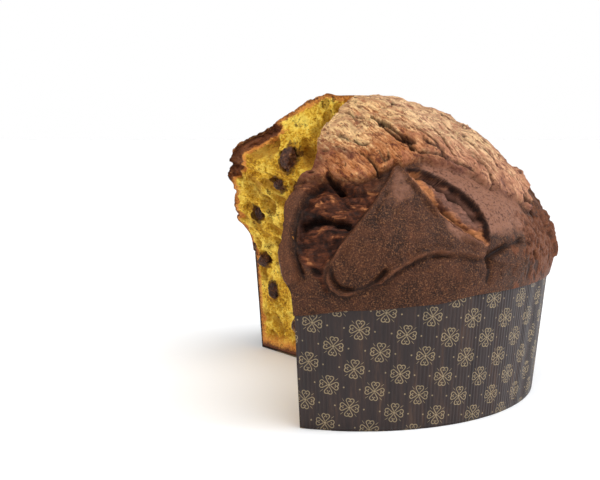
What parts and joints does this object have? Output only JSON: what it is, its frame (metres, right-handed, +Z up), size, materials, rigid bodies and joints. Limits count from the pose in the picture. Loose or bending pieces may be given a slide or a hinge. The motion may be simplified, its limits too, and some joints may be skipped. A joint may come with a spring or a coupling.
{
  "type": "panettone",
  "caption": "Low domed panettone in a printed paper case, with a wedge torn out that shows open yellow crumb and pieces of chocolate.",
  "frame": {"origin": "middle of the underside of the paper case, on the table", "axes": "+Z up, -Y towards the shown side with the scored ear, -X towards the missing wedge"},
  "size_m": [0.1996, 0.2297, 0.168],
  "materials": {
    "crust": "baked crust, satin brown, over open yellow crumb on the torn faces",
    "case_paper": "dark brown fluted baking paper with a fine gold-beige flower print",
    "chocolate": "dark chocolate, broken, half matt"
  },
  "bodies": {
    "root": {"loaf": "crust", "paper_case": "case_paper", "chocolate_near_01": "chocolate", "chocolate_near_02": "chocolate", "chocolate_near_03": "chocolate", "chocolate_near_04": "chocolate", "chocolate_near_05": "chocolate", "chocolate_near_06": "chocolate", "chocolate_near_07": "chocolate", "chocolate_near_08": "chocolate", "chocolate_near_09": "chocolate", "chocolate_near_10": "chocolate", "chocolate_near_11": "chocolate", "chocolate_far_01": "chocolate", "chocolate_far_02": "chocolate", "chocolate_far_03": "chocolate", "chocolate_far_04": "chocolate", "chocolate_far_05": "chocolate", "chocolate_far_06": "chocolate", "chocolate_far_07": "chocolate", "chocolate_far_08": "chocolate", "chocolate_far_09": "chocolate", "chocolate_far_10": "chocolate", "chocolate_far_11": "chocolate"}
  },
  "joints": []
}
